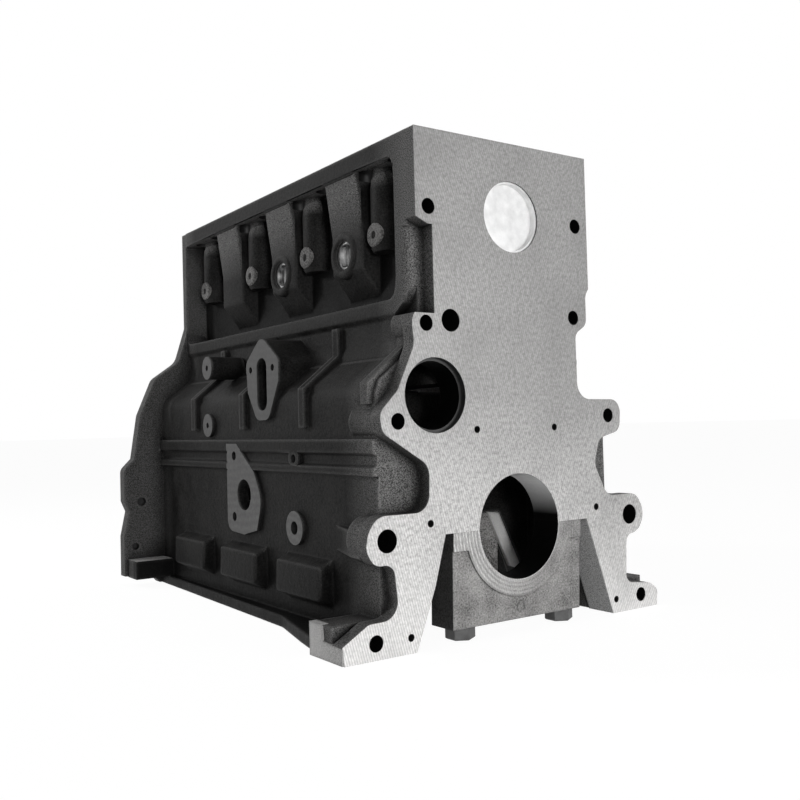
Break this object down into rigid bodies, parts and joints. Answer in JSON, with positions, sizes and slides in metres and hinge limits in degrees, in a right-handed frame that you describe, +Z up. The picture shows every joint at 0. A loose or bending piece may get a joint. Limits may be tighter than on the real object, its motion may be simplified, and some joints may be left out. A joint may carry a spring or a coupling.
{
  "type": "engine block",
  "caption": "Bare cast-iron cylinder block with deep crankcase skirts, open pushrod chamber, scalloped bell housing flange and bolted main bearing caps.",
  "frame": {"origin": "centre of the crankshaft bore at the near end face, where the flywheel housing bolts on", "axes": "+Z up to the head deck, +Y along the crankshaft away from the near face, +X to the right seen from the near end; the camshaft side is -X"},
  "size_m": [0.359, 0.482, 0.411],
  "materials": {
    "block_iron": "rough as cast, machined bright on the faces",
    "cap_iron": "rough as cast",
    "plug_steel": "bright pressed steel"
  },
  "bodies": {
    "root": {"block_casting": "block_iron", "core_plugs": "plug_steel", "main_bearing_cap_1": "cap_iron", "main_bearing_cap_2": "cap_iron", "main_bearing_cap_3": "cap_iron", "main_bearing_cap_4": "cap_iron", "main_bearing_cap_5": "cap_iron"}
  },
  "joints": []
}
